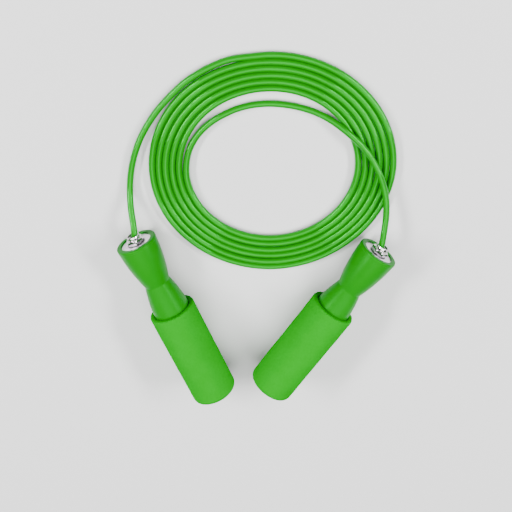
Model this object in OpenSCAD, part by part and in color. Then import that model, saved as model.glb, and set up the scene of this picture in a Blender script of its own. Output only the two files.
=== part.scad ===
// Jump rope: a PVC cord wound in one flat layer, with a ball bearing in the head of each foam handle.
// +Z is up and the floor is z = 0. The origin lies on the floor at the middle of the two handles' box.
// Each handle is drawn upright, with its bearing face at z = 0 and its foam end uppermost.

/* [Handle] */
// Length of the moulded shell, from its bearing face to the end of its tube
shell_len = 131; // [126:1:131]
// Outer diameter of the rim round the bearing
rim_d = 29; // [28:0.5:31]
// Diameter of the waist, where thumb and finger pinch
waist_d = 18.5; // [18:0.5:20]
// Distance from the bearing face to the waist
waist_at = 35; // [32:1:37]
// Diameter of the moulded tube that carries the foam
tube_d = 26.4; // [26:0.2:27]
// Wall of the moulded shell
shell_wall = 2.2; // [1.8:0.1:2.4]

/* [Foam grip] */
// Outer diameter of the foam
foam_d = 33.8; // [32:0.2:36]
// Distance from the left bearing face to the mouth of its foam
left_foam_at = 59.2; // [57:0.2:61]
// Distance from the left bearing face to the end of its foam
left_foam_end = 139.6; // [138:0.2:142]
// Distance from the right bearing face to the mouth of its foam, which is pushed on a little further
right_foam_at = 54.2; // [53:0.2:57]
// Distance from the right bearing face to the end of its foam
right_foam_end = 137.7; // [137.5:0.1:140]
// Rounding of the foam's outer edge at its mouth
mouth_round = 2.2; // [1.5:0.1:2.5]
// Rounding of the foam's outer edge at its far end
end_round = 4.5; // [3:0.5:5]

/* [Bearing] */
// Outer diameter of the deep groove ball bearing
bearing_d = 22; // [22:0.1:22.4]
// Bore of the bearing, which the spindle fills
bearing_bore = 8; // [7.6:0.1:8]
// Width of the bearing
bearing_w = 7; // [7:0.5:8]
// Diameter of each ball
ball_d = 3.97; // [3.9:0.01:4]
// Number of balls
ball_count = 7; // [6:1:7]

/* [Spindle] */
// Width across the flats of the spindle's hexagon
hex_flats = 11; // [10:0.5:12]
// Diameter of the round collar that the cord comes out of
collar_d = 9.2; // [8.8:0.2:9.6]
// Bore of the spindle, a loose fit on the cord
cord_bore = 4.8; // [4.7:0.1:4.8]

/* [Cord] */
// Diameter of the cord
cord_d = 4.5; // [4.3:0.1:4.5]
// Outer diameter of the flat coil
coil_d = 168; // [166:1:172]
// Open diameter inside the flat coil
coil_hole_d = 108; // [100:1:110]

/* [Lay on the floor] */
// Turn of the left handle away from straight back
left_turn = 22.2; // [18:0.2:24]
// Turn of the right handle away from straight back
right_turn = 33.3; // [30:0.1:36]

/* [Hidden] */
$fn = 96;

cord_r = cord_d / 2;
rim_r = rim_d / 2;
waist_r = waist_d / 2;
tube_r = tube_d / 2;
foam_r = foam_d / 2;
bearing_r = bearing_d / 2;
bore_r = bearing_bore / 2;
ball_r = ball_d / 2;

// Bearing pocket: the bearing sits a little below the rim, against a shoulder
bearing_at = 0.8;
bearing_end = bearing_at + bearing_w;
bearing_mid = bearing_at + bearing_w / 2;
shoulder = 1.6;
seat_r = bearing_r - shoulder;
seat_len = 2;

// Races and cage, from the ball circle: the balls run with a little play in the races and the cage
pitch_r = (bearing_r + bore_r) / 2;
race_play = 0.08;
cage_play = 0.06;
groove_r = ball_r + race_play;
pocket_r = ball_r + cage_play;
land_gap = 1.5;
outer_land_r = pitch_r + land_gap;
inner_land_r = pitch_r - land_gap;
cage_wall = 0.65;
cage_half = 2.4;

// Shields: how deep they sit, and how far they reach into the outer ring
shield_t = 0.35;
shield_inset = 0.25;
shield_bite = 0.5;
shield_gap = 0.3;
shield_hole_r = inner_land_r + shield_gap;
rear_shield_at = bearing_end - shield_inset - shield_t;

// Moulded shell: small edge radii and the bow of its two waisted stretches
rim_round = 1;
rim_lip = 0.4;
head_bow = 1;
neck_bow = 0.55;
neck_end = 57;

// End plug: a flange over the end of the tube and a hollow spigot inside it
plug_flange = 2.2;
plug_spigot = 8;
plug_wall = 1.6;
plug_floor = 1.5;
inner_round = 1.2;

// Closed end of the foam
foam_cap = 4;

// Spindle, measured from the bearing face towards the foam
boss_wall = 1.3;
boss_out = 0.5;
hex_out = -2.7;
hex_roll = 48;
collar_out = -5.2;
neck_deep = 0.5;
neck_len = 0.6;
mouth_wall = 1.6;
mouth_deep = 1.5;

// Washer and lock nut on the spindle's shank, which ends a little past the nut
washer_t = 1;
washer_rim = 2;
nut_flats = 12;
nut_t = 5;
nut_at = bearing_end + washer_t;
nut_end = nut_at + nut_t;
shank_end = nut_end + 1.4;

// Rope stop: a crimped sleeve on the end of the cord, behind the spindle
stop_gap = 1.2;
stop_at = shank_end + stop_gap;
stop_len = 9;
stop_r = 3.8;
crimp_deep = 0.5;
crimp_w = 1.6;
crimp_in = 2;
cord_tail = 2;

// Length that a cutting shape runs past what it cuts
over = 1;

// Pose of a handle: it lies on its rim and on the mouth of its foam, so it leans by a few degrees
lean_rise = (foam_r - mouth_round) - (rim_r - rim_round);
lean_gap = mouth_round - rim_round;
left_lean = lean_of(left_foam_at);
right_lean = lean_of(right_foam_at);
left_face = [-83.7, 63.8, face_height(left_lean)];
right_face = [85, 55.4, face_height(right_lean)];
left_heading = left_turn - 90;
right_heading = -90 - right_turn;
left_axis = axis_of(left_heading, left_lean);
right_axis = axis_of(right_heading, right_lean);

// Coil: middle of the flat ring
coil_mid = [10.3, 115.5, 0];

// Route of each lead after it leaves its spindle, to where it joins the coil
left_route = [
    [-83.9, 71, 13.2], [-84.8, 76.5, 11.6], [-85.7, 81.2, 9.6], [-86.4, 85.8, 7.3],
    [-86.7, 90.9, 5.2], [-86.6, 96.6, 3.5], [-86.3, 103, 2.5], [-85.3, 110.5, cord_r],
    [-83.7, 118, cord_r], [-81.4, 125.9, cord_r], [-78, 135, cord_r], [-74.2, 142.3, cord_r],
    [-70.1, 149.1, cord_r], [-64.9, 156.6, cord_r], [-59.2, 163.2, cord_r], [-47.2, 175.5, cord_r],
    [-32.7, 185, cord_r], [-17.7, 191.6, cord_r], [-5.7, 193.5, cord_r]
];
right_route = [
    [87.2, 64.5, 13.3], [87.8, 70, 12.2], [88.5, 74.9, 11], [88.9, 80.5, 9.7], [88.9, 86.9, 8.4],
    [88.2, 94.3, 7.3], [86.1, 102.9, 6.8], [83, 111.7, 6.8], [78.6, 120.3, 6.8],
    [72.9, 129.4, 6.8], [65.7, 137.2, 6.8], [61.3, 141, 6.7], [56.8, 144.8, 6], [50.3, 149.2, 4.2],
    [44.3, 152.5, 2.8], [35.3, 156.5, cord_r], [23.3, 159.8, cord_r], [10.8, 161.4, cord_r],
    [-1.7, 160.7, cord_r], [-14.2, 157.4, cord_r], [-27.7, 150.1, cord_r], [-36.7, 142.3, cord_r],
    [-43.5, 132.5, cord_r], [-46.7, 123.5, cord_r], [-47.9, 114, cord_r]
];
cord_sides = 10;

/* Functions */

// Points on part of a circle: centre c, radius r, from angle a to angle b in n steps
function arc(c, r, a, b, n = 6) =
    [for (i = [0:n]) let (w = a + (b - a) * i / n) c + r * [cos(w), sin(w)]];

// Points on a bowed line from a to b, whose middle stands rise outside the straight line
function bow(a, b, rise, n = 10) =
    let (along = (b - a) / norm(b - a), out = [along[1], -along[0]])
    [for (i = [0:n]) let (t = i / n) a + (b - a) * t + out * 4 * rise * t * (1 - t)];

// Lean of a handle whose foam starts at this distance from its bearing face
function lean_of(foam_at) =
    let (run = foam_at + mouth_round - rim_round)
    atan2(lean_rise, run) + asin(lean_gap / norm([run, lean_rise]));

// Height of the bearing face's middle over the floor
function face_height(lean) = (rim_r - rim_round) * cos(lean) + rim_round * (1 - sin(lean));

// Direction of a handle's axis, from its bearing face to its foam end
function axis_of(heading, lean) = [cos(heading) * cos(lean), sin(heading) * cos(lean), sin(lean)];

// The straight stretch of cord inside a handle: from its cut end, through the stop, to the collar
function inside(face, axis) =
    [for (s = [stop_at + stop_len + cord_tail, stop_at, collar_out + mouth_deep]) face + s * axis];

// Direction of the cord at point i of a route
function along(p, i) =
    let (a = p[max(i - 1, 0)], b = p[min(i + 1, len(p) - 1)])
    (b - a) / norm(b - a);

// One ring of points round the cord at point i of a route
function ring(p, i) =
    let (t = along(p, i), flat = cross(t, [0, 0, 1]), side = flat / norm(flat), up = cross(side, t))
    [for (k = [0:cord_sides - 1])
        let (w = 360 * (k + 0.5) / cord_sides) p[i] + cord_r * (side * cos(w) + up * sin(w))];

/* Shared shapes */

// Puts a piece drawn upright into the left handle
module in_left() {
    translate(left_face) rotate([0, 90 - left_lean, left_heading]) children();
}

// Puts a piece drawn upright into the right handle
module in_right() {
    translate(right_face) rotate([0, 90 - right_lean, right_heading]) children();
}

// A ring with a square section
module washer(outer, inner, from, to) {
    translate([0, 0, from]) difference() {
        cylinder(r = outer, h = to - from);
        translate([0, 0, -over]) cylinder(r = inner, h = to - from + 2 * over);
    }
}

// A six-sided prism, given its width across the flats
module hexagon(flats, from, to) {
    translate([0, 0, from]) cylinder(d = flats / cos(30), h = to - from, $fn = 6);
}

// A tube of cord swept along a route's own points
module cord(p) {
    n = len(p);
    points = [for (i = [0:n - 1]) each ring(p, i)];
    sides = [for (i = [0:n - 2]) for (k = [0:cord_sides - 1])
        let (j = (k + 1) % cord_sides)
        [i * cord_sides + k, i * cord_sides + j, (i + 1) * cord_sides + j, (i + 1) * cord_sides + k]];
    start_cap = [for (k = [cord_sides - 1:-1:0]) k];
    end_cap = [for (k = [0:cord_sides - 1]) (n - 1) * cord_sides + k];
    polyhedron(points, concat(sides, [start_cap, end_cap]));
}

/* Pieces of one handle, drawn upright */

// Moulded head, waist and tube in one hollow piece, with the bearing's pocket in its head
module handle_shell() {
    color([0.14, 0.72, 0.12]) rotate_extrude() polygon(concat(
        [[bearing_r, 0]],
        arc([rim_r - rim_round, rim_round], rim_round, -90, 0),
        bow([rim_r, rim_round + rim_lip], [waist_r, waist_at], head_bow),
        bow([waist_r, waist_at], [tube_r, neck_end], neck_bow),
        [[tube_r, shell_len], [tube_r - shell_wall, shell_len], [tube_r - shell_wall, neck_end],
            [waist_r - shell_wall, waist_at], [seat_r, bearing_end + seat_len],
            [seat_r, bearing_end], [bearing_r, bearing_end]]
    ));
}

// Foam sleeve pulled over the tube, with a rounded mouth and a rounded closed end
module foam_grip(from, to) {
    color([0.16, 0.85, 0.2]) rotate_extrude() polygon(concat(
        [[tube_r, from + inner_round]],
        arc([tube_r + inner_round, from + inner_round], inner_round, 180, 270),
        arc([foam_r - mouth_round, from + mouth_round], mouth_round, -90, 0),
        arc([foam_r - end_round, to - end_round], end_round, 0, 90),
        [[0, to], [0, to - foam_cap], [tube_r, to - foam_cap]]
    ));
}

// Plug that closes the tube inside the foam
module end_plug() {
    spigot_r = tube_r - shell_wall;
    color([0.12, 0.62, 0.1]) translate([0, 0, shell_len]) rotate_extrude() polygon(concat(
        [[0, -plug_floor], [spigot_r - plug_wall, -plug_floor], [spigot_r - plug_wall, -plug_spigot]],
        [[spigot_r, -plug_spigot], [spigot_r, 0], [tube_r, 0]],
        arc([tube_r - inner_round, plug_flange - inner_round], inner_round, 0, 90),
        [[0, plug_flange]]
    ));
}

// Outer ring of the bearing, with its raceway and a seat for each shield
module bearing_outer_ring() {
    color("silver") rotate_extrude() difference() {
        translate([outer_land_r, bearing_at]) square([bearing_r - outer_land_r, bearing_w]);
        translate([pitch_r, bearing_mid]) circle(r = groove_r);
        for (z = [bearing_at, rear_shield_at])
            translate([outer_land_r - over, z]) square([over + shield_bite, shield_inset + shield_t]);
    }
}

// Inner ring of the bearing, with its raceway
module bearing_inner_ring() {
    color("silver") rotate_extrude() difference() {
        translate([bore_r, bearing_at]) square([inner_land_r - bore_r, bearing_w]);
        translate([pitch_r, bearing_mid]) circle(r = groove_r);
    }
}

// The balls, as separate solids in one node
module bearing_balls() {
    color("gainsboro") for (k = [0:ball_count - 1])
        rotate(360 * k / ball_count) translate([pitch_r, 0, bearing_mid]) sphere(r = ball_r, $fn = 48);
}

// Cage that keeps the balls apart, with a round pocket for each
module ball_cage() {
    color("goldenrod") translate([0, 0, bearing_mid]) difference() {
        washer(pitch_r + cage_wall, pitch_r - cage_wall, -cage_half, cage_half);
        for (k = [0:ball_count - 1])
            rotate([0, 90, 360 * k / ball_count]) cylinder(r = pocket_r, h = bearing_r);
    }
}

// Pressed shield in the outer ring, clear of the inner ring
module shield(from) {
    color([0.86, 0.84, 0.88]) washer(outer_land_r + shield_bite, shield_hole_r, from, from + shield_t);
}

// Spindle: round collar and hexagon outside, hollow shank through the bearing and the nut
module spindle() {
    neck_at = hex_out - neck_len;
    color([0.8, 0.8, 0.82]) difference() {
        union() {
            translate([0, 0, collar_out]) cylinder(d = collar_d, h = neck_at - collar_out);
            translate([0, 0, neck_at]) cylinder(r = collar_d / 2 - neck_deep, h = neck_len);
            rotate(hex_roll) hexagon(hex_flats, hex_out, boss_out);
            translate([0, 0, boss_out]) cylinder(r = bore_r + boss_wall, h = bearing_at - boss_out);
            translate([0, 0, bearing_at]) cylinder(r = bore_r, h = shank_end - bearing_at);
        }
        translate([0, 0, collar_out - over])
            cylinder(d = cord_bore, h = shank_end - collar_out + 2 * over);
        translate([0, 0, collar_out - over])
            cylinder(r = cord_r + mouth_wall, h = mouth_deep + over);
    }
}

// Washer between the inner ring and the nut
module spindle_washer() {
    color("silver") washer(bore_r + washer_rim, bore_r, bearing_end, nut_at);
}

// Lock nut on the spindle's shank
module spindle_nut() {
    color("darkgray") difference() {
        hexagon(nut_flats, nut_at, nut_end);
        translate([0, 0, nut_at - over]) cylinder(r = bore_r, h = nut_t + 2 * over);
    }
}

// Sleeve crimped on the cord, which stops it from pulling back through the spindle
module rope_stop() {
    color("slategray") difference() {
        washer(stop_r, cord_r, stop_at, stop_at + stop_len);
        for (z = [stop_at + crimp_in, stop_at + stop_len - crimp_in - crimp_w])
            washer(stop_r + over, stop_r - crimp_deep, z, z + crimp_w);
    }
}

/* Cord on the floor */

// The flat coil's outer shape: a ring one cord high, with round edges
module rope_coil() {
    outer_r = coil_d / 2;
    inner_r = coil_hole_d / 2;
    color([0.1, 0.72, 0.1]) translate(coil_mid) rotate_extrude($fn = 180) {
        translate([inner_r + cord_r, 0]) square([outer_r - inner_r - cord_d, cord_d]);
        for (x = [inner_r + cord_r, outer_r - cord_r])
            translate([x, cord_r]) circle(r = cord_r, $fn = 48);
    }
}

// Cord from the left stop to the coil
module left_rope_lead() {
    color([0.1, 0.72, 0.1]) cord(concat(inside(left_face, left_axis), left_route));
}

// Cord from the right stop, over the coil and round inside it, to the coil's inner edge
module right_rope_lead() {
    color([0.1, 0.72, 0.1]) cord(concat(inside(right_face, right_axis), right_route));
}

in_left() handle_shell();  // left_handle_shell
in_left() foam_grip(left_foam_at, left_foam_end);  // left_foam_grip
in_left() end_plug();  // left_end_plug
in_left() bearing_outer_ring();  // left_bearing_outer_ring
in_left() bearing_inner_ring();  // left_bearing_inner_ring
in_left() bearing_balls();  // left_bearing_balls
in_left() ball_cage();  // left_ball_cage
in_left() shield(bearing_at + shield_inset);  // left_front_shield
in_left() shield(rear_shield_at);  // left_rear_shield
in_left() spindle();  // left_spindle
in_left() spindle_washer();  // left_spindle_washer
in_left() spindle_nut();  // left_spindle_nut
in_left() rope_stop();  // left_rope_stop
in_right() handle_shell();  // right_handle_shell
in_right() foam_grip(right_foam_at, right_foam_end);  // right_foam_grip
in_right() end_plug();  // right_end_plug
in_right() bearing_outer_ring();  // right_bearing_outer_ring
in_right() bearing_inner_ring();  // right_bearing_inner_ring
in_right() bearing_balls();  // right_bearing_balls
in_right() ball_cage();  // right_ball_cage
in_right() shield(bearing_at + shield_inset);  // right_front_shield
in_right() shield(rear_shield_at);  // right_rear_shield
in_right() spindle();  // right_spindle
in_right() spindle_washer();  // right_spindle_washer
in_right() spindle_nut();  // right_spindle_nut
in_right() rope_stop();  // right_rope_stop
rope_coil();
left_rope_lead();
right_rope_lead();
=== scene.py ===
# %% [markdown]
# # A jump rope
# A skipping rope for boxing training: a thin plastic cord wound in a flat coil, and two handles that
# turn on ball bearings. This lesson builds it round the CAD model, which gives every size and every
# joint. The model is in metres with Z up. Each finished piece has its place in its own mesh.

# %% Load the CAD model
import math

import bmesh
import bpy
import numpy as np
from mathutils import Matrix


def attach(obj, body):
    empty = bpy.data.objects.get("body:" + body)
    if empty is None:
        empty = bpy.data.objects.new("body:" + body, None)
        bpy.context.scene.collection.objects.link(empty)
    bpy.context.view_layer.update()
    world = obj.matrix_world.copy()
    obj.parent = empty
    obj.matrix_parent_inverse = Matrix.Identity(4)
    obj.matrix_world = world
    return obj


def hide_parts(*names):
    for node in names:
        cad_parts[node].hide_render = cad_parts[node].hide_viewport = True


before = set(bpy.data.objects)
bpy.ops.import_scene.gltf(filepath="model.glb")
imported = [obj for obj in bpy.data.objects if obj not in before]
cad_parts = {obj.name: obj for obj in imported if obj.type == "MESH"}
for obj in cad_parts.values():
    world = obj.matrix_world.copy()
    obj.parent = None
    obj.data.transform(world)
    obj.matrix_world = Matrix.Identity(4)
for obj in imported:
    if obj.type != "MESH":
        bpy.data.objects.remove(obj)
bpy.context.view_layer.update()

MM = 0.001

# %% [markdown]
# The camera comes first. The rope lies on a table, and the camera looks down on it by 58 degrees from
# the coil's side. The tilt about X is negative, so the coil, which is nearer, stands at the top of the
# frame. A tracking constraint could aim it; a computed place and tilt say the same in two plain lines.

# %% Camera
LOOK_DOWN = math.radians(58)
TARGET = np.array([-0.5, 42.9, 0.0]) * MM
DISTANCE = 714.3 * MM
LENS, SENSOR_WIDTH = 70.3, 36

camera_data = bpy.data.cameras.new("studio_camera")
camera_data.sensor_width = SENSOR_WIDTH
camera_data.lens = LENS
camera = bpy.data.objects.new("studio_camera", camera_data)
camera.location = TARGET + DISTANCE * np.array([0, math.cos(LOOK_DOWN), math.sin(LOOK_DOWN)])
camera.rotation_euler = (LOOK_DOWN - math.pi / 2, 0, 0)
bpy.context.scene.collection.objects.link(camera)
bpy.context.scene.camera = camera
print("camera at", np.round(np.array(camera.location), 3).tolist())

# %% [markdown]
# ## The handles' places
# Each handle lies on its rim and on the mouth of its foam, so it leans by a few degrees. A handle is
# drawn upright in mm, with its bearing face at height 0, and then placed by three directions: sideways,
# up and along. Turning the finished object would do the same, but then its place would not be in its
# mesh.

# %% Sizes and the pose of a handle
SHELL_LEN, NECK_END, FOAM_R, TUBE_R = 131.0, 57.0, 16.9, 13.2
RIM_R, RIM_ROUND, MOUTH_ROUND, END_ROUND = 14.5, 1.0, 2.2, 4.5
WAIST_R, WAIST_AT, WALL = 9.25, 35.0, 2.2
BEARING_R, BORE_R, BEARING_AT, BEARING_END = 11.0, 4.0, 0.8, 7.8
CORD_R = 2.25

# For each handle: the middle of its bearing face, its heading, and where its foam starts and ends.
SIDES = {
    "left": {"face": (-83.7, 63.8), "heading": math.radians(22.2 - 90), "foam": (59.2, 139.6)},
    "right": {"face": (85.0, 55.4), "heading": math.radians(-90 - 33.3), "foam": (54.2, 137.7)},
}


def lean_of(side):
    """The angle of the line that touches the rim's and the foam mouth's rounded edges."""
    run = SIDES[side]["foam"][0] + MOUTH_ROUND - RIM_ROUND
    rise = (FOAM_R - MOUTH_ROUND) - (RIM_R - RIM_ROUND)
    return math.atan2(rise, run) + math.asin((MOUTH_ROUND - RIM_ROUND) / math.hypot(run, rise))


def face_of(side):
    """The middle of a bearing face, in mm. Its height lets the rim's rounded edge touch the floor."""
    lean = lean_of(side)
    height = (RIM_R - RIM_ROUND) * math.cos(lean) + RIM_ROUND * (1 - math.sin(lean))
    return np.array([*SIDES[side]["face"], height])


def axes_of(side):
    """Rows are the directions sideways, up and along of a handle, as unit vectors at right angles."""
    turn, lean = SIDES[side]["heading"], lean_of(side)
    sideways = [-math.sin(turn), math.cos(turn), 0]
    up = [-math.cos(turn) * math.sin(lean), -math.sin(turn) * math.sin(lean), math.cos(lean)]
    along = [math.cos(turn) * math.cos(lean), math.sin(turn) * math.cos(lean), math.sin(lean)]
    return np.array([sideways, up, along])


def placed(side, points):
    """Points in mm drawn upright, put in their place in metres: face + x sideways + y up + z along."""
    return (face_of(side) + np.asarray(points, float) @ axes_of(side)) * MM


print("the handles lean by", [round(math.degrees(lean_of(side)), 2) for side in SIDES], "degrees")

# %% [markdown]
# ## The cord
# The cord is one soft plastic string, 4.5 mm thick, from one handle to the other. It could be a curve
# object with a round bevel. Here its centre line is computed, so that the coil can follow a spiral whose
# turns lie a cord apart, and the tube round it gets a texture map whose first direction is the length
# along the cord.

# %% Route of the cord
# Both routes are in mm and start at their handle. CROSSING is the cord's height where it passes over the
# coil: one cord's thickness above the turns.
CROSSING = 6.8
LEFT_ROUTE = [
    [-83.9, 71, 13.2], [-84.8, 76.5, 11.6], [-85.7, 81.2, 9.6], [-86.4, 85.8, 7.3],
    [-86.7, 90.9, 5.2], [-86.6, 96.6, 3.5], [-86.3, 103, 2.5], [-85.3, 110.5, CORD_R],
    [-83.7, 118, CORD_R], [-81.4, 125.9, CORD_R], [-78, 135, CORD_R], [-74.2, 142.3, CORD_R],
    [-70.1, 149.1, CORD_R], [-64.9, 156.6, CORD_R], [-59.2, 163.2, CORD_R], [-47.2, 175.5, CORD_R],
    [-32.7, 185, CORD_R], [-17.7, 191.6, CORD_R], [-5.7, 193.5, CORD_R],
]
RIGHT_ROUTE = [
    [87.2, 64.5, 13.3], [87.8, 70, 12.2], [88.5, 74.9, 11], [88.9, 80.5, 9.7], [88.9, 86.9, 8.4],
    [88.2, 94.3, 7.3], [86.1, 102.9, CROSSING], [83, 111.7, CROSSING], [78.6, 120.3, CROSSING],
    [72.9, 129.4, CROSSING], [65.7, 137.2, CROSSING], [61.3, 141, 6.7], [56.8, 144.8, 6],
    [50.3, 149.2, 4.2], [44.3, 152.5, 2.8], [35.3, 156.5, CORD_R], [23.3, 159.8, CORD_R],
    [10.8, 161.4, CORD_R], [-1.7, 160.7, CORD_R], [-14.2, 157.4, CORD_R], [-27.7, 150.1, CORD_R],
    [-36.7, 142.3, CORD_R], [-43.5, 132.5, CORD_R], [-46.7, 123.5, CORD_R], [-47.9, 114, CORD_R],
]
COIL_MIDDLE, COIL_R, TURN_STEP = (8.93, 114.0), 81.5, 4.51
TURNS, POINTS_PER_TURN = (0.0, 5.74), 36
DRIFT, OVAL_ACROSS, OVAL_ASKEW = 0.12, 1.49, 0.31
SWELL_AT = (0, 45, 90, 135, 180, 225, 270, 315, 360)
SWELL = (1.7, 0.8, 0.6, 1.35, 0.3, 0.2, 1.2, 0.1, 1.7)
SWELL_FADE, LIFT = 0.15, 0.35


def coil_line(first, last, count):
    """The flat coil's centre line, where t counts turns clockwise from straight back and g is the
    direction from the middle. The radius is COIL_R - TURN_STEP t + DRIFT t sin(g), plus OVAL_ACROSS
    cos(2 g) + OVAL_ASKEW sin(2 g), which make it slightly oval, plus a swell: SWELL mm at the directions
    SWELL_AT in degrees, times 1 - SWELL_FADE t, so it fades inwards. The height is CORD_R plus LIFT
    (1 + sin(3 pi t)), which swings the opposite way in neighbouring turns, because a springy cord never
    lies quite flat. The swing grows from nothing over the first turn."""
    t = np.linspace(first, last, count)
    g = np.pi / 2 - 2 * np.pi * t
    radius = COIL_R - TURN_STEP * t + DRIFT * t * np.sin(g)
    radius = radius + OVAL_ACROSS * np.cos(2 * g) + OVAL_ASKEW * np.sin(2 * g)
    radius += np.interp(np.degrees(g) % 360, SWELL_AT, SWELL) * (1 - SWELL_FADE * t)
    flat = np.stack([np.cos(g), np.sin(g)], 1) * radius[:, None] + COIL_MIDDLE
    return np.column_stack([flat, CORD_R + LIFT * (1 + np.sin(3 * np.pi * t)) * np.clip(t, 0, 1)])


def inside_line(side, distances):
    """Points on the handle's own axis at these distances from its bearing face, in mm."""
    return face_of(side) + np.outer(distances, axes_of(side)[2])


def even(line, step):
    """The same line with points a step apart, measured along it."""
    lengths = np.concatenate([[0], np.cumsum(np.linalg.norm(np.diff(line, axis=0), axis=1))])
    at = np.linspace(0, lengths[-1], int(round(lengths[-1] / step)) + 1)
    return np.column_stack([np.interp(at, lengths, line[:, k]) for k in range(3)])


def relaxed(line, reach, step):
    """A line that a springy cord would take: each point becomes a bell-weighted mean of its neighbours,
    and both ends keep their direction, because the line is carried on past them before the mean."""
    count = int(3 * reach / step)
    weights = np.exp(-0.5 * (np.arange(-count, count + 1) * step / reach) ** 2)
    weights /= weights.sum()
    ahead = line[0] + (line[0] - line[count:0:-1])
    after = line[-1] + (line[-1] - line[-2:-count - 2:-1])
    longer = np.concatenate([ahead, line, after])
    return np.column_stack([np.convolve(longer[:, k], weights, "valid") for k in range(3)])


STEP, FINE_STEP, SPRING_REACH = 1.8, 0.6, 4.5
INSIDE_STOPS = [26.4, 16.4, 6, -3.7]
coil_points = coil_line(*TURNS, int((TURNS[1] - TURNS[0]) * POINTS_PER_TURN))
corners = np.concatenate([
    inside_line("left", INSIDE_STOPS), np.array(LEFT_ROUTE[:-1]), coil_points,
    np.array(RIGHT_ROUTE[:-1])[::-1], inside_line("right", INSIDE_STOPS[::-1]),
])
cord_line = even(relaxed(even(corners, FINE_STEP), SPRING_REACH, FINE_STEP), STEP)

# %% [markdown]
# A mesh is made from a grid of points: rows run along a piece and columns run round it. One helper turns
# any such grid into faces, and every new piece of this lesson uses it. Blender's Screw modifier makes
# such grids too, but only ones that stay perfectly round.

# %% Grid to mesh
def mesh_from_grid(name, grid, close_rows=False, cap_ends=False, uv=None, sharp=35):
    """A grid of rows x columns x 3 points, in metres, becomes a mesh. Columns always close on
    themselves. Rows close where the outline is a loop. Face (i, j) joins points j and j + 1 of rows i and
    i + 1. Edges that bend by more than sharp degrees stay crisp."""
    rows, columns, _ = grid.shape
    last = rows if close_rows else rows - 1
    i, j = np.meshgrid(np.arange(last), np.arange(columns), indexing="ij")
    below, above = i * columns, ((i + 1) % rows) * columns
    right = (j + 1) % columns
    quads = np.stack([below + j, below + right, above + right, above + j], -1).reshape(-1, 4)
    faces = quads.tolist()
    if cap_ends:
        faces.append(list(range(columns))[::-1])
        faces.append(list(range((rows - 1) * columns, rows * columns)))
    mesh = bpy.data.meshes.new(name)
    mesh.from_pydata(grid.reshape(-1, 3).tolist(), [], faces)
    if uv is not None:
        layer = mesh.uv_layers.new(name="UVMap")
        corner_uv = np.zeros((len(mesh.loops), 2))
        span = np.stack([i, i, i + 1, i + 1], -1).reshape(-1)
        turn = np.stack([j, j + 1, j + 1, j], -1).reshape(-1)
        corner_uv[: len(span), 0] = uv[0][np.minimum(span, len(uv[0]) - 1)]
        corner_uv[: len(turn), 1] = turn / columns * uv[1]
        layer.data.foreach_set("uv", corner_uv.ravel())
    mesh.polygons.foreach_set("use_smooth", np.ones(len(mesh.polygons), bool))
    mesh.set_sharp_from_angle(angle=math.radians(sharp))
    mesh.update()
    return mesh


def piece(name, mesh, body, stands_for, material):
    """Puts a mesh in the scene as a named piece that rides on a CAD body and wears a material."""
    thing = bpy.data.objects.new(name, mesh)
    bpy.context.scene.collection.objects.link(thing)
    mesh.materials.append(material)
    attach(thing, body)
    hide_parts(*stands_for)
    return thing


print("mesh helpers are ready: mesh_from_grid and piece")

# %% [markdown]
# ## Materials
# Each finish is a small network of nodes on one Principled shader: one noise changes the colour a little,
# another changes the roughness, and a bump gives the grain. An image could do it, but noise has no seam
# and no size limit. The networks read object coordinates, except the cord's, which reads its own texture
# map so that its marks run along it.

# %% Helpers for finishes
def finish(name, colour, roughness, metallic=0.0):
    """A new material with its Principled shader's colour, roughness and metal amount set."""
    material = bpy.data.materials.new(name)
    material.use_nodes = True
    tree = material.node_tree
    shader = tree.nodes["Principled BSDF"]
    shader.inputs["Base Color"].default_value = (*colour, 1)
    shader.inputs["Roughness"].default_value = roughness
    shader.inputs["Metallic"].default_value = metallic
    material.diffuse_color = (*colour, 1)
    return material, tree, shader


def coordinates(tree, kind="Object", stretch=(1, 1, 1)):
    """Object or UV coordinates, stretched by a Mapping node."""
    source = tree.nodes.new("ShaderNodeTexCoord")
    mapping = tree.nodes.new("ShaderNodeMapping")
    mapping.inputs["Scale"].default_value = stretch
    tree.links.new(source.outputs[kind], mapping.inputs["Vector"])
    return mapping.outputs["Vector"]


def noise(tree, vector, size, detail):
    """Smooth random values between 0 and 1, whose blotches are about this many metres across."""
    node = tree.nodes.new("ShaderNodeTexNoise")
    node.inputs["Scale"].default_value = 1 / size
    node.inputs["Detail"].default_value = detail
    tree.links.new(vector, node.inputs["Vector"])
    return node.outputs["Fac"]


def spread(tree, value, low, high, frm=0.3, to=0.7):
    """Moves values between frm and to onto the range from low to high."""
    node = tree.nodes.new("ShaderNodeMapRange")
    node.inputs["From Min"].default_value = frm
    node.inputs["From Max"].default_value = to
    node.inputs["To Min"].default_value = low
    node.inputs["To Max"].default_value = high
    tree.links.new(value, node.inputs["Value"])
    return node.outputs["Result"]


def blend_colour(tree, value, first, second, frm=0.3, to=0.7):
    """A colour that goes from first to second as the value goes from frm to to."""
    node = tree.nodes.new("ShaderNodeValToRGB")
    node.color_ramp.elements[0].position = frm
    node.color_ramp.elements[0].color = (*first, 1)
    node.color_ramp.elements[1].position = to
    node.color_ramp.elements[1].color = (*second, 1)
    tree.links.new(value, node.inputs["Fac"])
    return node.outputs["Color"]


def bump(tree, shader, height, depth, strength, under=None):
    """Tilts the surface by a height texture. depth is the height of its bumps in metres."""
    node = tree.nodes.new("ShaderNodeBump")
    node.inputs["Distance"].default_value = depth
    node.inputs["Strength"].default_value = strength
    tree.links.new(height, node.inputs["Height"])
    if under is not None:
        tree.links.new(under, node.inputs["Normal"])
    tree.links.new(node.outputs["Normal"], shader.inputs["Normal"])
    return node.outputs["Normal"]


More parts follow.
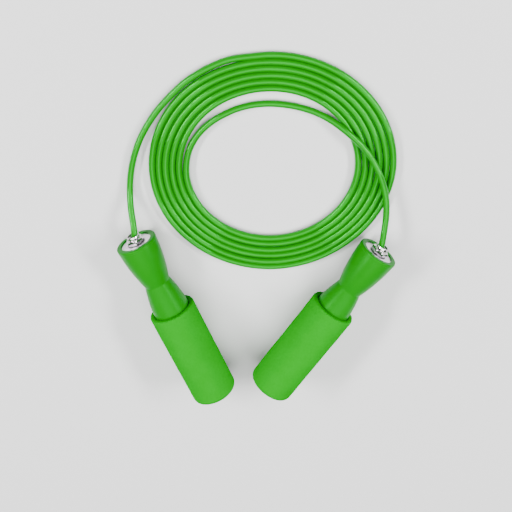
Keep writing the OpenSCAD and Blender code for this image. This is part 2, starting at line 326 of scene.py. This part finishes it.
def clouded(tree, shader, vector, size, detail, first, second):
    """The shader's colour drifts from first to second in blotches of this size."""
    colour = blend_colour(tree, noise(tree, vector, size, detail), first, second)
    tree.links.new(colour, shader.inputs["Base Color"])


def unevenly_rough(tree, shader, vector, size, detail, low, high):
    """The shader's roughness drifts from low to high in blotches of this size."""
    amount = spread(tree, noise(tree, vector, size, detail), low, high)
    tree.links.new(amount, shader.inputs["Roughness"])


def green_gloss(shader, level):
    """Sets how strongly the surface reflects, and tints that so it does not wash out the green."""
    shader.inputs["Specular IOR Level"].default_value = level
    shader.inputs["Specular Tint"].default_value = GREEN_SHINE


GREEN_SHINE = (0.05, 1.0, 0.12, 1)
print("finish helpers are ready; green plastics share the tint", GREEN_SHINE[:3])

# %% [markdown]
# The cord is extruded from soft PVC, which is coloured right through and glossy. Its shine is broken by a
# faint waviness along its length, from the extruder, and by rubbed, duller patches. A coat layer could
# give the gloss, but on one solid plastic a low roughness is what is really there.

# %% Cord finish
CORD_GREEN = (0.0005, 0.138, 0.002)
CORD_DEEP, CORD_LIGHT = (0.0003, 0.128, 0.0015), (0.0007, 0.150, 0.003)


def make_cord_finish():
    """Glossy green plastic with marks that are long along the cord and short round it."""
    material, tree, shader = finish("soft_pvc", CORD_GREEN, 0.3)
    along = coordinates(tree, "UV")
    long_marks = coordinates(tree, "UV", stretch=(0.25, 1.0, 1))
    clouded(tree, shader, along, 0.05, 2, CORD_DEEP, CORD_LIGHT)
    unevenly_rough(tree, shader, long_marks, 0.006, 3, 0.09, 0.19)
    bump(tree, shader, noise(tree, long_marks, 0.0022, 2), 0.00006, 0.5)
    green_gloss(shader, 0.6)
    return material


cord_finish = make_cord_finish()
print("cord finish:", len(cord_finish.node_tree.nodes), "nodes")

# %% [markdown]
# The tube follows the centre line. At each point the section is a circle in the plane across the line,
# and its sideways direction is kept level. A bevelled curve may twist its section on the way; this one
# never does, because the cord is nowhere vertical.

# %% Cord
CORD_SIDES = 20


def tube(line, radius, sides):
    """Point (i, k) = line point i + radius x (sideways x cos + up x sin) of the angle of column k.
    The radius varies by less than one hundredth along the length, as on a drawn string."""
    along = np.gradient(line, axis=0)
    along /= np.linalg.norm(along, axis=1)[:, None]
    sideways = np.cross(along, [0, 0, 1.0])
    sideways /= np.linalg.norm(sideways, axis=1)[:, None]
    up = np.cross(sideways, along)
    angle = 2 * np.pi * (np.arange(sides) + 0.5) / sides
    wave = np.arange(len(line))
    width = radius * (1 + 0.004 * np.sin(wave * 0.11) + 0.003 * np.sin(wave * 0.043 + 1))
    cos, sin = np.cos(angle)[None, :, None], np.sin(angle)[None, :, None]
    ring = cos * sideways[:, None] + sin * up[:, None]
    return (line[:, None] + width[:, None, None] * ring) * MM


cord_grid = tube(cord_line, CORD_R, CORD_SIDES)
cord_uv = (np.arange(len(cord_line)) * STEP * MM, 2 * math.pi * CORD_R * MM)
cord_mesh = mesh_from_grid("cord", cord_grid, cap_ends=True, uv=cord_uv)
cord_solids = ("rope_coil", "left_rope_lead", "right_rope_lead")
cord = piece("cord", cord_mesh, "rope", cord_solids, cord_finish)
print("cord mesh:", len(cord_mesh.polygons), "faces")

# %% [markdown]
# ## Turned outlines
# Most pieces of a handle are round, as if turned on a lathe. Such a piece is an outline of radius and
# height, carried round the axis. Blender's Screw modifier could do it, but computing it lets the surface
# vary as it goes round, which the foam and the hexagon need.

# %% Outline helpers
def softened(corners, steps=5):
    """A closed outline with rounded corners. Each corner is radius, height and rounding, in mm. Its two
    cut points lie rounding / tan(half the corner's angle) away, and a curve pulled towards the corner
    joins them: (1 - t)^2 start + 2 t (1 - t) corner + t^2 end."""
    table = np.array(corners, float)
    point, rounding = table[:, :2], table[:, 2]
    back = np.roll(point, 1, 0) - point
    on = np.roll(point, -1, 0) - point
    back_len, on_len = np.linalg.norm(back, axis=1), np.linalg.norm(on, axis=1)
    back, on = back / back_len[:, None], on / on_len[:, None]
    half = 0.5 * np.arccos(np.clip((back * on).sum(1), -1, 1))
    cut = np.minimum(rounding / np.tan(np.maximum(half, 1e-3)), 0.48 * np.minimum(back_len, on_len))
    t = np.linspace(0, 1, steps + 1)[None, :, None]
    start, end = (point + back * cut[:, None])[:, None], (point + on * cut[:, None])[:, None]
    curve = (1 - t) ** 2 * start + 2 * t * (1 - t) * point[:, None] + t**2 * end
    outline = curve.reshape(-1, 2)
    keep = np.linalg.norm(outline - np.roll(outline, 1, 0), axis=1) > 1e-4
    return outline[keep]


def divided(outline, longest):
    """The same closed outline, with extra points where an edge is longer than this."""
    edges = np.linalg.norm(np.roll(outline, -1, 0) - outline, axis=1)
    parts = [
        a + (b - a) * np.linspace(0, 1, max(1, math.ceil(e / longest)), endpoint=False)[:, None]
        for a, b, e in zip(outline, np.roll(outline, -1, 0), edges)
    ]
    return np.concatenate(parts)


def bowed(first, last, rise, count):
    """Corners between two points of an outline, whose middle stands rise outside the straight line."""
    t = np.linspace(0, 1, count + 2)[1:-1]
    first, last = np.array(first, float), np.array(last, float)
    line = (last - first) / np.linalg.norm(last - first)
    outward = np.array([line[1], -line[0]])
    points = first + (last - first) * t[:, None] + outward * (4 * rise * t * (1 - t))[:, None]
    return [[r, z, 0] for r, z in points]


def turned(side, outline, sides, reshape=None):
    """Carries an outline round the axis: point (i, k) = radius i x (cos, sin) of angle k, at height i.
    reshape may change the radius first, as a function of radius, height and angle."""
    angle = 2 * np.pi * np.arange(sides) / sides
    radius, turn = np.meshgrid(outline[:, 0], angle, indexing="ij")
    height = np.repeat(outline[:, 1:2], sides, 1)
    if reshape is not None:
        radius = reshape(radius, height, turn)
    points = np.stack([radius * np.cos(turn), radius * np.sin(turn), height], -1)
    return placed(side, points.reshape(-1, 3)).reshape(points.shape)


def weld_poles(mesh):
    """Merges the points that fall together where an outline touches the axis."""
    work = bmesh.new()
    work.from_mesh(mesh)
    bmesh.ops.remove_doubles(work, verts=work.verts, dist=1e-7)
    work.to_mesh(mesh)
    work.free()
    mesh.update()


square = [[1, 0, 0.2], [2, 0, 0.2], [2, 1, 0.2], [1, 1, 0.2]]
print("a square with softened corners has", len(softened(square)), "points")

# %% [markdown]
# ## Moulded shell
# Head, waist and tube are one moulding of hard green plastic. Out of the mould it is semi-glossy, with an
# almost unseen orange peel. A plain colour would look like a drawing, so colour, shine and surface each
# vary a little, at different sizes.

# %% Shell finish
SHELL_GREEN = (0.0005, 0.132, 0.002)
SHELL_DEEP, SHELL_LIGHT = (0.0003, 0.127, 0.0015), (0.0007, 0.138, 0.0025)


def make_shell_finish():
    """Semi-gloss moulded plastic: faint colour clouds, uneven shine and a very fine orange-peel bump."""
    material, tree, shader = finish("moulded_green", SHELL_GREEN, 0.35)
    place = coordinates(tree)
    clouded(tree, shader, place, 0.03, 2, SHELL_DEEP, SHELL_LIGHT)
    unevenly_rough(tree, shader, place, 0.004, 4, 0.30, 0.44)
    bump(tree, shader, noise(tree, place, 0.0009, 3), 0.00004, 0.35)
    green_gloss(shader, 0.14)
    return material


shell_finish = make_shell_finish()
print("shell finish:", len(shell_finish.node_tree.nodes), "nodes")

# %% [markdown]
# The moulding's outline has the rounded rim, a fine step under the rim, a gently bowed cone down to the
# waist and another one up to the tube. The inside has the bearing's pocket with its shoulder. Cones and
# cylinders could be joined instead, but one closed outline leaves no seam between them.

# %% Shell
SEAT_R = BEARING_R - 1.6
LINE_AT, HEAD_BOW, NECK_BOW, BOW_POINTS = 2.3, 1.0, 0.55, 9
ROUND_SIDES = 144


def shell_outline():
    """The moulding's closed outline: up the outside from the pocket's mouth, then down the inside."""
    head_top, waist = (RIM_R - 0.1, LINE_AT + 0.4), (WAIST_R, WAIST_AT)
    corners = [[BEARING_R, 0.0, 0.25], [RIM_R, 0.0, RIM_ROUND]]
    corners += [[RIM_R, LINE_AT - 0.15, 0.08], [RIM_R - 0.14, LINE_AT + 0.05, 0.08], [*head_top, 0.1]]
    corners += bowed(head_top, waist, HEAD_BOW, BOW_POINTS) + [[*waist, 0.9]]
    corners += bowed(waist, (TUBE_R, NECK_END), NECK_BOW, BOW_POINTS) + [[TUBE_R, NECK_END, 3]]
    corners += [[TUBE_R, SHELL_LEN, 0.3], [TUBE_R - WALL, SHELL_LEN, 0.3]]
    corners += [[TUBE_R - WALL, NECK_END, 2]]
    corners += [[WAIST_R - WALL, WAIST_AT, 1], [SEAT_R, BEARING_END + 2, 0.4]]
    corners += [[SEAT_R, BEARING_END, 0.15], [BEARING_R, BEARING_END, 0.05]]
    return softened(corners)


for side in SIDES:
    body, solids = f"{side}_handle", [f"{side}_handle_shell"]
    grid = turned(side, shell_outline(), ROUND_SIDES)
    shell_mesh = mesh_from_grid(f"{side}_shell", grid, close_rows=True)
    piece(f"{side}_shell", shell_mesh, body, solids, shell_finish)
print("shell outline:", len(shell_outline()), "points")

# %% [markdown]
# ## Foam grip
# A thick sleeve of closed-cell foam is pulled over the tube. It is matt, with tiny pores, and painted
# shade darkens the inside of each pore. The pores could be modelled, but at under a millimetre a cell
# pattern that drives both the painted shade and the bump shows the same. It reflects nothing, so its
# gloss is off.

# %% Foam finish
FOAM_GREEN = (0.0005, 0.19, 0.003)
FOAM_DEEP, FOAM_LIGHT = (0.0003, 0.183, 0.0025), (0.0007, 0.197, 0.0035)
# The pores' painted shade: its darkest grey, and how much of it is mixed into the colour.
PORE_SIZE, PORE_SHADE_GREY, PORE_SHADE_AMOUNT = 0.0009, 0.72, 0.55


def make_foam_finish():
    """Matt foam: pores with painted shade, from a fine cell pattern, over a soft larger unevenness."""
    material, tree, shader = finish("closed_cell_foam", FOAM_GREEN, 0.85)
    place = coordinates(tree)
    cells = tree.nodes.new("ShaderNodeTexVoronoi")
    cells.inputs["Scale"].default_value = 1 / PORE_SIZE
    tree.links.new(place, cells.inputs["Vector"])
    pores = spread(tree, cells.outputs["Distance"], 0, 1, 0.0, 0.45)
    colour = blend_colour(tree, noise(tree, place, 0.012, 3), FOAM_DEEP, FOAM_LIGHT)
    # Painted shade: the colour is darkened towards the middle of each pore, where shade falls.
    dark = blend_colour(tree, pores, (PORE_SHADE_GREY,) * 3, (1, 1, 1), 0.0, 0.5)
    mix = tree.nodes.new("ShaderNodeMix")
    mix.data_type = "RGBA"
    mix.blend_type = "MULTIPLY"
    mix.inputs["Factor"].default_value = PORE_SHADE_AMOUNT
    tree.links.new(colour, mix.inputs["A"])
    tree.links.new(dark, mix.inputs["B"])
    tree.links.new(mix.outputs["Result"], shader.inputs["Base Color"])
    unevenly_rough(tree, shader, place, 0.003, 3, 0.78, 0.95)
    soft = bump(tree, shader, noise(tree, place, 0.0035, 3), 0.00025, 0.3)
    bump(tree, shader, pores, 0.00016, 0.55, under=soft)
    green_gloss(shader, 0.0)
    return material


foam_finish = make_foam_finish()
print("foam finish:", len(foam_finish.node_tree.nodes), "nodes")

# %% [markdown]
# The sleeve is never quite round, because it was squeezed on. A cloth simulation could swell it, but
# tight on its tube it cannot sag or fold, so small waves added to its radius are enough. Its mouth is
# rounded on both edges and its end is closed and rounded.

# %% Foam grip
FOAM_CAP = 4.0


def foam_outline(mouth, end):
    """The foam's closed outline: its mouth, up the outside, over the closed end and down the inside."""
    corners = [[TUBE_R, mouth, 1.2], [FOAM_R, mouth, MOUTH_ROUND]]
    corners += [[FOAM_R, end, END_ROUND + 0.3], [0.0, end, 0]]
    corners += [[0.0, end - FOAM_CAP, 0], [TUBE_R, end - FOAM_CAP, 0.1]]
    return divided(softened(corners, 8), 1.2)


def squeezed(radius, height, turn):
    """Adds slow waves, from -0.19 to 0.07 mm, to the outside only: sines of angle and height."""
    outside = np.clip((radius - TUBE_R - 1) / 2, 0, 1)
    waves = 0.06 * np.sin(2 * turn + height * 0.045) + 0.04 * np.sin(3 * turn - height * 0.09 + 1)
    waves = waves + 0.03 * np.sin(5 * turn + height * 0.23 + 2) - 0.06
    return radius + outside * waves


for side in SIDES:
    outline = foam_outline(*SIDES[side]["foam"])
    grid = turned(side, outline, ROUND_SIDES, squeezed)
    foam_mesh = mesh_from_grid(f"{side}_foam", grid, close_rows=True)
    weld_poles(foam_mesh)
    body, solids = f"{side}_handle", [f"{side}_foam_grip"]
    foam = piece(f"{side}_foam", foam_mesh, body, solids, foam_finish)
print("foam outline:", len(outline), "points")

# %% [markdown]
# ## Steel in the head
# The bearing is of bright steel, with a dark inner ring, and the spindle is chromed. The inner ring's
# dark grey is painted shade, for the shadow in the gap between the shield's hole and the spindle. All
# share one recipe: a metal shader whose colour and shine drift in clouds, as rubbed and oiled metal does,
# with a fine grain. Each could have its own network, but what sets them apart is only colour, roughness
# and depth of grain.

# %% Metal finishes
METAL_CLOUDS, METAL_VARIATION = 0.004, 0.08


def make_metal(name, colour, roughness, grain):
    """Metal whose shine varies in clouds, with a fine grain bump of this depth in metres."""
    material, tree, shader = finish(name, colour, roughness, 1.0)
    place = coordinates(tree)
    darker = tuple(c * (1 - METAL_VARIATION) for c in colour)
    clouded(tree, shader, place, METAL_CLOUDS, 3, darker, colour)
    low, high = roughness * 0.75, roughness * 1.35
    unevenly_rough(tree, shader, place, METAL_CLOUDS / 3, 4, low, high)
    bump(tree, shader, noise(tree, place, 0.0003, 3), grain, 0.4)
    return material


shield_finish = make_metal("pressed_shield", (0.86, 0.80, 0.88), 0.34, 0.000008)
ring_finish = make_metal("ground_ring", (0.74, 0.74, 0.76), 0.18, 0.000004)
# The inner ring's dark grey is painted shade, for the shadow in the gap between the shield's hole and the
# spindle.
race_shade_finish = make_metal("race_painted_shade", (0.20, 0.20, 0.21), 0.30, 0.000004)
ball_finish = make_metal("polished_balls", (0.85, 0.85, 0.87), 0.06, 0.000001)
cage_finish = make_metal("pressed_cage", (0.62, 0.58, 0.50), 0.35, 0.00001)
chrome_finish = make_metal("chromed_spindle", (0.74, 0.70, 0.73), 0.10, 0.000002)
zinc_finish = make_metal("zinc_plate", (0.60, 0.62, 0.66), 0.30, 0.00001)
stop_finish = make_metal("crimped_aluminium", (0.62, 0.62, 0.64), 0.40, 0.00002)
print("materials so far:", len(bpy.data.materials))

# %% [markdown]
# The bearing sits just inside the rim. Its pale front shield is pressed sheet steel with a raised band,
# and its outer ring has a small chamfer that catches the light. The CAD's plain rings could stay, but
# these two are in full view, so they are turned again with their chamfers, groove and pressed steps.

# %% Shield and outer ring
SHIELD_R, SHIELD_HOLE_R, SHIELD_AT = 9.5, 6.3, BEARING_AT + 0.25
LAND_R, BALL_CIRCLE_R, GROOVE_R, MIDDLE = 9.0, 7.5, 2.065, 4.3
SHEET, SHIELD_SEAT, SHIELD_SIDES, RING_SIDES = 0.25, 0.6, 96, 120


def shield_outline():
    """Pressed sheet: a flat rim, a raised middle band and a lip turned down at its hole."""
    top = [[SHIELD_HOLE_R, 0.28, 0.1], [SHIELD_HOLE_R + 0.5, 0.05, 0.2], [8.1, 0.0, 0.2]]
    top += [[8.5, 0.12, 0.15], [SHIELD_R, 0.12, 0.1]]
    under = [[r, z + SHEET, c] for r, z, c in top[::-1]]
    return softened([[r, z + SHIELD_AT - 0.05, c] for r, z, c in top + under], 3)


def outer_ring_outline():
    """The outer ring's section: chamfered outside edges, shield seats and a round groove for the
    balls, whose points are BALL_CIRCLE_R + GROOVE_R cos(a), MIDDLE + GROOVE_R sin(a)."""
    reach = math.asin((LAND_R - BALL_CIRCLE_R) / GROOVE_R)
    swing = np.linspace(math.pi / 2 - reach, reach - math.pi / 2, 13)
    near, seat = BEARING_AT, BEARING_AT + SHIELD_SEAT
    far, far_seat = BEARING_END, BEARING_END - SHIELD_SEAT
    groove = np.column_stack([np.cos(swing), np.sin(swing), 0 * swing]) * GROOVE_R
    groove = (groove + [BALL_CIRCLE_R, MIDDLE, 0]).tolist()
    corners = [[BEARING_R, near, 0.35], [BEARING_R, far, 0.35], [SHIELD_R, far, 0.08]]
    corners += [[SHIELD_R, far_seat, 0.02], [LAND_R, far_seat, 0.02]] + groove
    corners += [[LAND_R, seat, 0.02], [SHIELD_R, seat, 0.02], [SHIELD_R, near, 0.12]]
    return softened(corners, 4)


for side in SIDES:
    body = f"{side}_handle"
    grid = turned(side, shield_outline(), SHIELD_SIDES)
    shield_mesh = mesh_from_grid(f"{side}_shield", grid, close_rows=True)
    solids = [f"{side}_front_shield"]
    piece(f"{side}_shield", shield_mesh, body, solids, shield_finish)
    grid = turned(side, outer_ring_outline(), RING_SIDES)
    ring_mesh = mesh_from_grid(f"{side}_ring", grid, close_rows=True)
    solids = [f"{side}_bearing_outer_ring"]
    piece(f"{side}_ring", ring_mesh, body, solids, ring_finish)
print("shield and ring outlines:", len(shield_outline()), len(outer_ring_outline()))

# %% [markdown]
# ## Spindle
# A chromed steel spindle holds the cord: a round collar that the cord comes out of, a groove under it, a
# hexagon to hold it still while the nut is tightened, and a hollow shank through the bearing. A Boolean
# could cut the flats, but its faces shade badly. Here the whole thing is one outline carried round the
# axis, and in the rows of the hexagon the radius is limited by six flats.

# %% Spindle
HEX_HALF, HEX_TURN = 5.5, math.radians(18)
HEX_FROM, HEX_TO = -2.7, 0.5
COLLAR_OUT, SHANK_END, CORD_HOLE_R, HOLE_MOUTH_R = -5.2, 15.2, 2.4, 3.8
COLLAR_R, NECK_R, SEAT_RING_R = 4.6, 4.1, 5.3


def hexagonal(radius, height, turn):
    """Between the hexagon's ends the radius is at most HEX_HALF / cos(angle from the nearest flat's
    middle). The outline's own slope at both ends chamfers the corners."""
    from_flat = np.mod(turn - HEX_TURN, math.pi / 3) - math.pi / 6
    flat = HEX_HALF / np.cos(from_flat)
    zone = (height > HEX_FROM - 0.01) & (height < HEX_TO + 0.01) & (radius > HEX_HALF - 0.6)
    return np.where(zone, np.minimum(radius, flat), radius)


def spindle_outline():
    """Up the outside from the collar's mouth to the shank's end, and back down the bore."""
    corner = HEX_HALF / math.cos(math.pi / 6)
    corners = [[HOLE_MOUTH_R, COLLAR_OUT, 0.25], [COLLAR_R, COLLAR_OUT, 0.45]]
    corners += [[COLLAR_R, -3.35, 0.18], [NECK_R, -3.2, 0.12], [NECK_R, HEX_FROM, 0.05]]
    corners += [[HEX_HALF - 0.25, HEX_FROM, 0.0], [corner, HEX_FROM + 0.62, 0.0]]
    corners += [[corner, HEX_TO - 0.3, 0.0], [HEX_HALF, HEX_TO, 0.0], [SEAT_RING_R, HEX_TO, 0.0]]
    corners += [[SEAT_RING_R, BEARING_AT, 0.05], [BORE_R, BEARING_AT, 0.05]]
    corners += [[BORE_R, SHANK_END, 0.4], [CORD_HOLE_R, SHANK_END, 0.2]]
    corners += [[CORD_HOLE_R, COLLAR_OUT + 1.6, 0.3], [HOLE_MOUTH_R, COLLAR_OUT + 1.4, 0.3]]
    return divided(softened(corners, 5), 1.0)


for side in SIDES:
    name, solids = f"{side}_spindle_turned", [f"{side}_spindle"]
    grid = turned(side, spindle_outline(), ROUND_SIDES, hexagonal)
    spindle_mesh = mesh_from_grid(name, grid, close_rows=True, sharp=24)
    piece(name, spindle_mesh, "rope", solids, chrome_finish)
print("spindle outline:", len(spindle_outline()), "points")

# %% [markdown]
# ## Pieces kept from the CAD
# The pieces inside the head and the tube have simple true shapes, and little of them is ever seen. They
# could be turned again like the ring, but that would gain nothing. A material is put on the CAD mesh's
# own slots, and the mesh itself stays as it is.

# %% Finishes on the CAD pieces
PLUG_GREEN = (0.03, 0.34, 0.03)
PLUG_DEEP, PLUG_LIGHT = (0.025, 0.30, 0.025), (0.035, 0.38, 0.035)


def make_plug_finish():
    """Matt moulded plastic with faint clouds."""
    material, tree, shader = finish("plug_green", PLUG_GREEN, 0.55)
    place = coordinates(tree)
    clouded(tree, shader, place, 0.01, 3, PLUG_DEEP, PLUG_LIGHT)
    unevenly_rough(tree, shader, place, 0.003, 3, 0.48, 0.62)
    bump(tree, shader, noise(tree, place, 0.0006, 3), 0.00003, 0.4)
    return material


CAD_FINISHES = {
    "end_plug": make_plug_finish(),
    "bearing_inner_ring": race_shade_finish,
    "bearing_balls": ball_finish,
    "ball_cage": cage_finish,
    "rear_shield": shield_finish,
    "spindle_washer": zinc_finish,
    "spindle_nut": zinc_finish,
    "rope_stop": stop_finish,
}


def wear(node, material):
    """Every material slot of a CAD node takes this material."""
    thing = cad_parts[node]
    if not thing.material_slots:
        thing.data.materials.append(material)
    for slot in thing.material_slots:
        slot.material = material


for side in SIDES:
    for name, material in CAD_FINISHES.items():
        wear(f"{side}_{name}", material)
print("CAD pieces with a finish:", 2 * len(CAD_FINISHES))

# %% [markdown]
# ## Studio
# A pale floor and soft light, as for a catalogue. A large soft lamp hangs over the rope and lights nearly
# everything. Two narrow ones beside it give the long highlights on the cord. A plain sky could light it
# all, but chrome and bearing steel need something dark and something bright to mirror, so the sky is in
# bands.

# %% Floor and light
FLOOR_HALF, FLOOR_Z, PAPER_GREY = 4.0, -0.2 * MM, 0.55


def make_floor():
    """A square paper floor, 8 m wide, 0.2 mm under the rope."""
    flat = np.array([[-1, -1], [1, -1], [1, 1], [-1, 1]]) * FLOOR_HALF
    mesh = bpy.data.meshes.new("studio_floor")
    mesh.from_pydata([(x, y, FLOOR_Z) for x, y in flat.tolist()], [], [(0, 1, 2, 3)])
    material, tree, shader = finish("pale_paper", (PAPER_GREY,) * 3, 0.95)
    place = coordinates(tree)
    clouded(tree, shader, place, 0.5, 2, (PAPER_GREY - 0.01,) * 3, (PAPER_GREY + 0.01,) * 3)
    mesh.materials.append(material)
    floor = bpy.data.objects.new("studio_floor", mesh)
    bpy.context.scene.collection.objects.link(floor)


def add_lamp(name, place, width, height, power, aim=(0.0, 0.06, 0.0)):
    """A soft lamp of this width and height at this place, in metres, that faces the aim point."""
    data = bpy.data.lights.new(name, "AREA")
    data.shape = "RECTANGLE"
    data.size, data.size_y = width, height
    data.energy = power
    lamp = bpy.data.objects.new(name, data)
    lamp.location = place
    away = np.array(place) - np.array(aim)
    away /= np.linalg.norm(away)
    lamp.rotation_euler = (math.acos(away[2]), 0, math.atan2(away[1], away[0]) + math.pi / 2)
    bpy.context.scene.collection.objects.link(lamp)


SKY_BANDS = ((0.1, 0.45), (0.2, 0.05), (0.8, 0.05), (0.93, 1.0))


def make_sky():
    """A grey sky: pale at the horizon, dark from there to high up, and bright overhead. Each band is a
    height of the direction, from 0 level to 1 straight up, and its grey."""
    world = bpy.data.worlds.new("studio_sky")
    world.use_nodes = True
    tree = world.node_tree
    direction = tree.nodes.new("ShaderNodeTexCoord")
    split = tree.nodes.new("ShaderNodeSeparateXYZ")
    bands = tree.nodes.new("ShaderNodeValToRGB")
    while len(bands.color_ramp.elements) < len(SKY_BANDS):
        bands.color_ramp.elements.new(0.5)
    for band, (height, grey) in zip(bands.color_ramp.elements, SKY_BANDS):
        band.position = height
        band.color = (grey, grey, grey, 1)
    tree.links.new(direction.outputs["Generated"], split.inputs["Vector"])
    tree.links.new(split.outputs["Z"], bands.inputs["Fac"])
    tree.links.new(bands.outputs["Color"], tree.nodes["Background"].inputs["Color"])
    bpy.context.scene.world = world


make_floor()
add_lamp("softbox_over", (0.1, -0.2, 3.0), 3.0, 3.0, 155)
add_lamp("strip_left", (-1.15, 0.4, 0.9), 1.1, 0.2, 50)
add_lamp("strip_right", (1.15, 0.4, 0.9), 1.1, 0.2, 46)
make_sky()
print("lamps:", len(bpy.data.lights))
